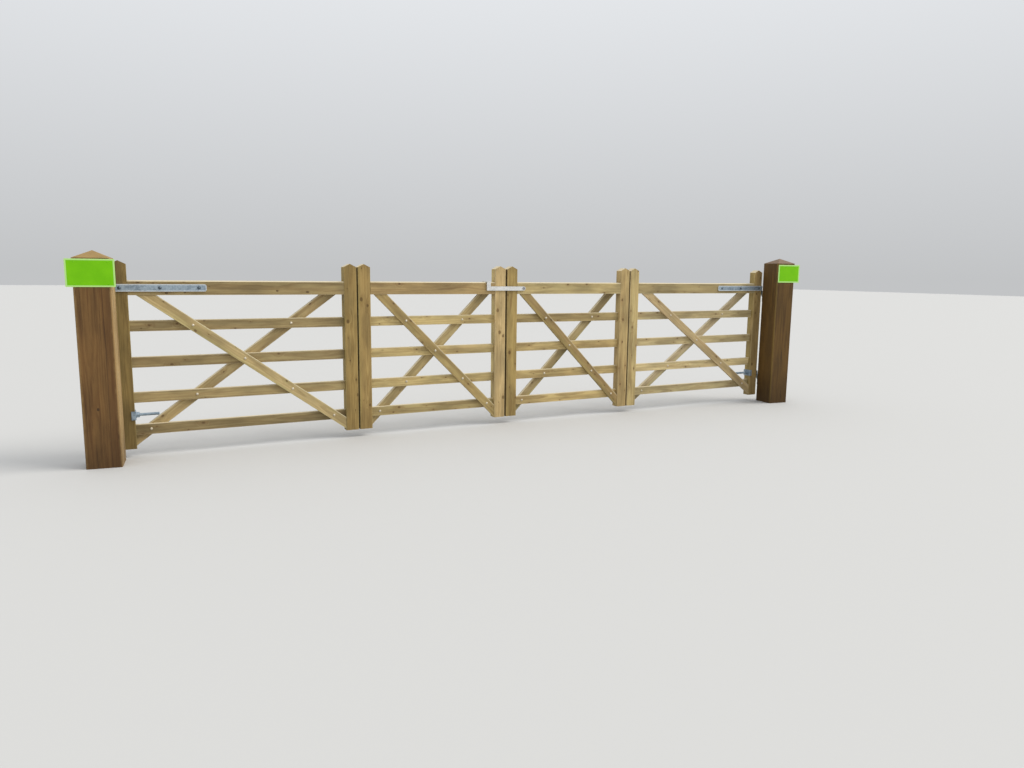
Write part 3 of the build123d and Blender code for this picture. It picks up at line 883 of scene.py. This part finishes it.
def threads(name, start, end, body):
    """A screw thread wound round the eye bolt's stem, from one x to the other."""
    turns = abs(end[0] - start[0]) / THREAD_PITCH
    steps = int(turns * THREAD_SIDES)
    way = 1 if end[0] > start[0] else -1
    bm = bmesh.new()
    rings = []
    for step in range(steps + 1):
        angle = math.tau * step / THREAD_SIDES
        middle = start[0] + way * THREAD_PITCH * step / THREAD_SIDES
        out = Vector((0, math.cos(angle), math.sin(angle)))
        row = []
        for shift, radius in ((-0.5, THREAD_ROOT), (0, THREAD_CREST), (0.5, THREAD_ROOT)):
            spot = Vector((middle + shift * THREAD_PITCH, start[1], start[2])) + out * radius
            row.append(bm.verts.new(spot))
        rings.append(row)
    for one, two in zip(rings, rings[1:]):
        for i in (0, 1):
            bm.faces.new((one[i], one[i + 1], two[i + 1], two[i]))
    bmesh.ops.recalc_face_normals(bm, faces=bm.faces)
    mesh = bpy.data.meshes.new(name)
    bm.to_mesh(mesh)
    bm.free()
    mesh.materials.append(strap_zinc)
    made = add_object(name, mesh)
    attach(made, body)


def post_axes(side):
    """Where one post stands and how it is turned, as a matrix."""
    centre = centre_and_half(side + "_gatepost")[0]
    return Matrix.Translation((centre.x, centre.y, 0)) @ Matrix.Rotation(POST_TURN, 4, "Z")


def screw_columns(hook, plate_y):
    """Where the screws' columns stand on a hook's plate: on each side of its web with room."""
    top = max(v.z for v in hook)
    pin = [v.x for v in hook if v.z > top - SEAT]
    web = (min(pin) + max(pin)) / 2
    plate = [v.x for v in hook if v.y < plate_y + SEAT]
    rooms = ((min(plate), web - HOOK_WEB_T / 2), (web + HOOK_WEB_T / 2, max(plate)))
    return [(a + b) / 2 for a, b in rooms if b - a > 2 * COACH_SCREW["Washer Radius"]]


for side, way in (("left", 1), ("right", -1)):
    body = side + "_outer_leaf"
    stile_low, stile_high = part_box(side + "_outer_hanging_stile")
    outer, inner = (stile_low.x, stile_high.x) if way > 0 else (stile_high.x, stile_low.x)
    band_low, band_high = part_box(side + "_strap_band")
    band_z = (band_low.z + band_high.z) / 2
    along = [outer + way * d for d in STRAP_BOLTS]
    heads = [(x, band_low.y, band_z) for x in along]
    tails = [(x, band_high.y, band_z) for x in along]
    set_fixings(side + "_strap_bolts", body,
                heads, FRONT, domes, shaded_head_zinc, STRAP_HEAD)
    set_fixings(side + "_strap_nuts", body,
                tails, BACK, nuts, bolt_zinc, BRACE_NUT)

    stem_low, stem_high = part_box(side + "_eye_bolt")
    stem_y = (stem_low.y + stem_high.y) / 2
    stem_z = (stem_low.z + stem_high.z) / 2
    seat = inner + way * (STIRRUP_T + SEAT)
    stem_end = stem_high.x if way > 0 else stem_low.x
    set_fixings(side + "_stem_nut", body,
                [(seat, stem_y, stem_z)], (way, 0, 0), nuts, strap_zinc, STEM_NUT)
    start = (seat + way * (STEM_NUT["Nut Thick"] + STEM_NUT["Washer Thick"]), stem_y, stem_z)
    threads(side + "_stem_threads", start, (stem_end - way * THREAD_PITCH, stem_y, stem_z), body)

    axes = post_axes(side)
    plate_y = post_half() + HOOK_PLATE_T + SEAT
    for hook in ("_top_hook", "_bottom_hook"):
        own = [axes.inverted() @ v.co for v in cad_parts[side + hook].data.vertices]
        foot = min(v.z for v in own)
        spots = [
            axes @ Vector((x, plate_y, foot + up))
            for x in screw_columns(own, plate_y) for up in HOOK_SCREWS_UP
        ]
        set_fixings(side + hook + "_screws", "gateposts",
                    spots, axes.to_3x3() @ Vector(BACK), nuts, bolt_zinc, COACH_SCREW)


# Fold hinges. Where an inner leaf meets an outer one, two knuckled plate hinges on the back
# faces let it fold. Each plate is held with four coach screws, and a headed pin joins them.

FOLD_PLATE_T = 0.006
# How far the screws stand in from the fold, and above and below a hinge's middle
FOLD_SCREWS_IN = (0.041, 0.070)
FOLD_SCREWS_UP = 0.019

for side in ("left", "right"):
    for piece in ("_fold_hinges_outer", "_fold_hinges_inner", "_fold_pins"):
        dress(side + piece, strap_zinc)
    stile_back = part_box(side + "_outer_fold_stile")[1].y
    pins_low, pins_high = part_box(side + "_fold_pins")
    pin_x = (pins_low.x + pins_high.x) / 2
    levels = [centre_and_half(side + piece)[0].z for piece in ("_eye_bolt", "_strap_band")]
    for leaf in ("outer", "inner"):
        leaf_low, leaf_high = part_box(side + "_" + leaf + "_fold_stile")
        way = 1 if (leaf_low.x + leaf_high.x) / 2 > pin_x else -1
        edge = leaf_low.x if way > 0 else leaf_high.x
        plate_back = stile_back + SEAT + FOLD_PLATE_T
        spots = [
            (edge + way * inwards, plate_back, level + up * FOLD_SCREWS_UP)
            for inwards in FOLD_SCREWS_IN for level in levels for up in (-1, 1)
        ]
        name = side + "_" + leaf
        set_fixings(name + "_fold_screws", name + "_leaf",
                    spots, BACK, nuts, bolt_zinc, COACH_SCREW)


# Throw-over loop. A loop of flat bright steel turns on a headed pin through the right inner
# leaf's top rail, and its upturned end drops over the left inner leaf to hold the pair shut.

LATCH_LIGHT = (0.80, 0.80, 0.78, 1)
LATCH_DARK = (0.60, 0.60, 0.58, 1)
# Painted shade: the loop's pivot head gets dark grey steel, standing in for the shade of the hole it
# sits in.
SHADED_PIVOT_LIGHT = (0.34, 0.34, 0.35, 1)
SHADED_PIVOT_DARK = (0.16, 0.16, 0.17, 1)

latch_zinc = zinc_material("latch_zinc", LATCH_LIGHT, LATCH_DARK, 0.45, 0.42)
dress("latch_loop", latch_zinc)
shaded_pivot_steel = zinc_material("shaded_pivot_steel", SHADED_PIVOT_LIGHT, SHADED_PIVOT_DARK, 0.6, 0.45, crystal=0.004)
dress("latch_pivot", shaded_pivot_steel)


# Bare plates. A thin plastic plate in plain green with a pale edge is screwed to the front of
# each gatepost, level with its shoulder, and stands out past the post's outer side.

# Width, shift to the right, drop below the shoulder and width of the pale border
PLATES = {"left": (0.283, -0.0055, 0.006, 0.011), "right": (0.264, 0.034, 0.013, 0.014)}
PLATE_TALL = 0.178
PLATE_THICK = 0.003
PLATE_ROUND = 0.004
PLATE_EASE = 0.0006
PLATE_GREEN = ((0.155, 0.500, 0.0, 1), (0.190, 0.560, 0.002, 1))
PLATE_BORDER = (0.50, 0.76, 0.27, 1)
# How far the screws stand from the plate's middle, and at least from the post's corner
PLATE_SCREWS = (0.120, 0.070)
PLATE_SCREW_IN = 0.012
PLATE_SCREW_HEAD = {"Head Radius": 0.0035, "Head Rise": 0.0016}
# How far a post's shoulder is below its tip
SHOULDER_DROP = 0.050


def plate_material(name, centre, wide, border):
    """Green plastic whose pale border is a band along the plate's own edges."""
    material, tree, shader = new_material(name)
    shader["Roughness"].default_value = 0.38
    shader["Specular IOR Level"].default_value = 0.2
    place = put(tree, "ShaderNodeTexCoord").outputs["Object"]
    ins = {"Vector": place, "Location": centre, "Rotation": (0, 0, POST_TURN)}
    local = put(tree, "ShaderNodeMapping", ins, vector_type="TEXTURE").outputs[0]
    from_middle = separate(tree, local)
    across = calc(tree, "SUBTRACT", wide / 2, calc(tree, "ABSOLUTE", from_middle[0]))
    up = calc(tree, "SUBTRACT", PLATE_TALL / 2, calc(tree, "ABSOLUTE", from_middle[2]))
    edge = rise(tree, calc(tree, "MINIMUM", across, up), border, border * 0.8)
    cloud = rise(tree, noise(tree, place, (9, 9, 9), 3.0), 0.3, 0.8)
    green = mixed(tree, cloud, *PLATE_GREEN)
    colour = mixed(tree, product(tree, edge, 0.85), green, PLATE_BORDER)
    tree.links.new(colour, shader["Base Color"])
    return material


def plate(side, wide, shift, drop, border):
    """A sheet with rounded corners and eased edges on the front of one post."""
    axes = post_axes(side)
    front = -post_half()
    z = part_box(side + "_gatepost")[1].z - SHOULDER_DROP - drop - PLATE_TALL / 2
    centre = Vector((shift, front - PLATE_THICK / 2, z))
    bm = bmesh.new()
    bmesh.ops.create_cube(bm, size=1)
    bmesh.ops.scale(bm, vec=(wide, PLATE_THICK, PLATE_TALL), verts=bm.verts)
    bmesh.ops.translate(bm, vec=centre, verts=bm.verts)
    upright = [e for e in bm.edges if abs(e.verts[0].co.y - e.verts[1].co.y) > PLATE_THICK / 2]
    bmesh.ops.bevel(bm, geom=upright, offset=PLATE_ROUND, segments=4, affect="EDGES", profile=0.5)
    rims = [e for e in bm.edges if abs(e.verts[0].co.y - e.verts[1].co.y) < PLATE_THICK / 4]
    bmesh.ops.bevel(bm, geom=rims, offset=PLATE_EASE, segments=2, affect="EDGES", profile=0.5)
    bm.transform(axes)
    mesh = bpy.data.meshes.new(side + "_plate")
    bm.to_mesh(mesh)
    bm.free()
    green = plate_material(side + "_plate_green", axes @ centre, wide, border)
    mesh.materials.append(green)
    made = add_object(side + "_plate", mesh)
    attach(made, "gateposts")
    edge = -front - PLATE_SCREW_IN
    columns = (max(-edge, centre.x - PLATE_SCREWS[0]), min(edge, centre.x + PLATE_SCREWS[0]))
    spots = [
        axes @ Vector((x, front - PLATE_THICK, z + up * PLATE_SCREWS[1]))
        for x in columns for up in (-1, 1)
    ]
    set_fixings(side + "_plate_screws", "gateposts",
                spots, axes.to_3x3() @ Vector(FRONT), domes, green, PLATE_SCREW_HEAD)


for side, (wide, shift, drop, border) in PLATES.items():
    plate(side, wide, shift, drop, border)


# Floor, light and camera. A plain pale floor under the soft light of an overcast sky that is
# brightest overhead, with a wide weak sun from the right. The camera stands where the photograph
# was taken from.

FLOOR_HALF = 60.0
FLOOR_COLOUR = (0.46, 0.455, 0.44, 1)
SKY_LOW = (0.54, 0.55, 0.56, 1)
SKY_HIGH = (1.26, 1.30, 1.36, 1)
SUN_COLOUR = (1.0, 0.97, 0.92)
SUN_POWER = 2.4
SUN_WIDTH = math.radians(35)
SUNLIGHT = Vector((-0.85, 0.4, -0.9))
LENS_PIXELS = 751.456
PICTURE_WIDE = 1024
SENSOR = 36.0
CAMERA_AT = (0.0925, -5.6140, 1.307)
YAW = math.radians(-28.0026)
PITCH = math.radians(-8.4226)
ROLL = math.radians(0.6693)

floor_mesh = bpy.data.meshes.new("floor")
corners = [(-1, -1), (1, -1), (1, 1), (-1, 1)]
places = [(x * FLOOR_HALF, y * FLOOR_HALF, 0) for x, y in corners]
floor_mesh.from_pydata(places, [], [(0, 1, 2, 3)])
floor = add_object("floor", floor_mesh)
pale, _, shader = new_material("pale_floor")
shader["Base Color"].default_value = FLOOR_COLOUR
shader["Roughness"].default_value = 0.9
floor_mesh.materials.append(pale)

world = bpy.data.worlds.new("sky")
world.use_nodes = True
sky = world.node_tree
direction = put(sky, "ShaderNodeTexCoord").outputs["Generated"]
overhead = spread(sky, separate(sky, direction)[2], 0.0, 1.0)
sky_colour = mixed(sky, overhead, SKY_LOW, SKY_HIGH)
sky.links.new(sky_colour, sky.nodes["Background"].inputs["Color"])
bpy.context.scene.world = world

sun = add_object("sun", bpy.data.lights.new("sun", "SUN"))
sun.data.energy = SUN_POWER
sun.data.angle = SUN_WIDTH
sun.data.color = SUN_COLOUR
sun.rotation_euler = SUNLIGHT.to_track_quat("-Z", "Y").to_euler()

camera = add_object("camera", bpy.data.cameras.new("camera"))
camera.data.sensor_width = SENSOR
camera.data.lens = LENS_PIXELS * SENSOR / PICTURE_WIDE
camera.data.clip_end = 500
level_ahead = Vector((-math.sin(YAW), math.cos(YAW), 0))
ahead = level_ahead * math.cos(PITCH) + Vector((0, 0, math.sin(PITCH)))
level_right = Vector((math.cos(YAW), math.sin(YAW), 0))
level_up = level_right.cross(ahead)
right = math.cos(ROLL) * level_right + math.sin(ROLL) * level_up
up = math.cos(ROLL) * level_up - math.sin(ROLL) * level_right
turned = Matrix((right, up, -ahead)).transposed().to_4x4()
camera.matrix_world = Matrix.Translation(CAMERA_AT) @ turned
bpy.context.scene.camera = camera
bpy.context.scene.view_settings.view_transform = "Standard"
